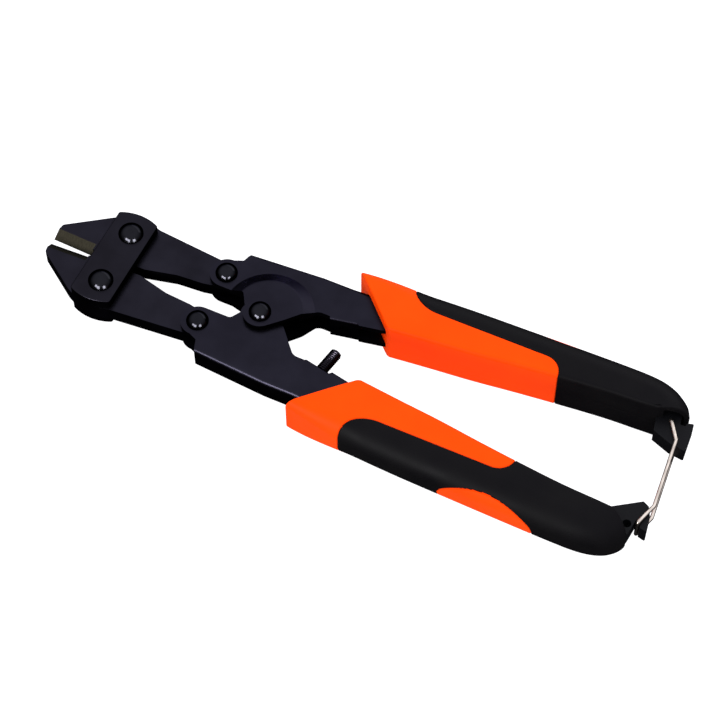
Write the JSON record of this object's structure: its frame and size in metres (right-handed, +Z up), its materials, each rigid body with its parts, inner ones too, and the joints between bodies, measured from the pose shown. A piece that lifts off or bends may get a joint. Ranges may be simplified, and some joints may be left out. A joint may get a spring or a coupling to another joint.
{
  "type": "bolt cutters",
  "caption": "Compact compound-action bolt cutters with short beak jaws, sheet-steel frames, cushioned grips in contrasting colours and a wire latch bail across the handle ends.",
  "frame": {"origin": "centre of the bounding box in X and Y, on the plane that the tool rests on", "axes": "+X along the tool from the jaws to the handle ends, +Y sideways towards the handle that carries the latch bail, +Z up out of the plane the tool lies in"},
  "size_m": [0.2066, 0.062, 0.0175],
  "materials": {
    "jaw_steel": "black oxide, satin, with ground bevels",
    "fishplate_steel": "black oxide, satin",
    "frame_paint": "satin blue-black coat",
    "rivet_steel": "polished black oxide",
    "screw_steel": "glossy black oxide",
    "orange_plastic": "satin",
    "black_rubber": "soft matte",
    "black_plastic": "satin",
    "bail_wire": "bright drawn wire"
  },
  "bodies": {
    "lower_handle": {"lower_frame": "frame_paint", "lower_grip_sleeve": "orange_plastic", "lower_grip_overmould": "black_rubber", "lower_grip_inlay": "orange_plastic", "lower_hook_cap": "black_plastic", "stop_screw": "screw_steel", "pivot_spacer": "rivet_steel", "centre_rivet": "rivet_steel", "lower_tail_rivet": "rivet_steel"},
    "upper_handle": {"upper_frame": "frame_paint", "upper_grip_sleeve": "orange_plastic", "upper_grip_overmould": "black_rubber", "upper_grip_inlay": "orange_plastic", "upper_hook_cap": "black_plastic", "upper_tail_rivet": "rivet_steel"},
    "lower_jaw": {"lower_jaw": "jaw_steel"},
    "upper_jaw": {"upper_jaw": "jaw_steel"},
    "fishplates": {"top_fishplate": "fishplate_steel", "bottom_fishplate": "fishplate_steel", "lower_jaw_rivet": "rivet_steel", "upper_jaw_rivet": "rivet_steel"},
    "latch_bail": {"latch_bail": "bail_wire"}
  },
  "joints": [
    {"name": "handle_pivot", "type": "hinge", "parent": "lower_handle", "child": "upper_handle", "pos_m": [-0.03063, 0, 0.00825], "axis": [0, 0, 1], "range_deg": [-8, 27]},
    {"name": "lower_jaw_pivot", "type": "hinge", "parent": "lower_handle", "child": "lower_jaw", "pos_m": [-0.04703, -0.0098, 0.00825], "axis": [0, 0, 1], "range_deg": [-6.1, 20.4]},
    {"name": "upper_jaw_pivot", "type": "hinge", "parent": "upper_handle", "child": "upper_jaw", "pos_m": [-0.04703, 0.0098, 0.00825], "axis": [0, 0, 1], "range_deg": [-20.4, 6.1]},
    {"name": "fishplate_pivot", "type": "hinge", "parent": "lower_jaw", "child": "fishplates", "pos_m": [-0.08033, -0.0098, 0.00825], "axis": [0, 0, 1], "range_deg": [-6.9, 2.1]},
    {"name": "bail_hinge", "type": "hinge", "parent": "upper_handle", "child": "latch_bail", "pos_m": [0.09587, 0.0188, 0.00825], "axis": [0, 0, 1], "range_deg": [0, 80]}
  ],
  "couplings": [
    {"joint": "lower_jaw_pivot", "follows": "handle_pivot", "ratio": 0.7525},
    {"joint": "upper_jaw_pivot", "follows": "handle_pivot", "ratio": -0.7525},
    {"joint": "fishplate_pivot", "follows": "handle_pivot", "ratio": -0.2525}
  ]
}
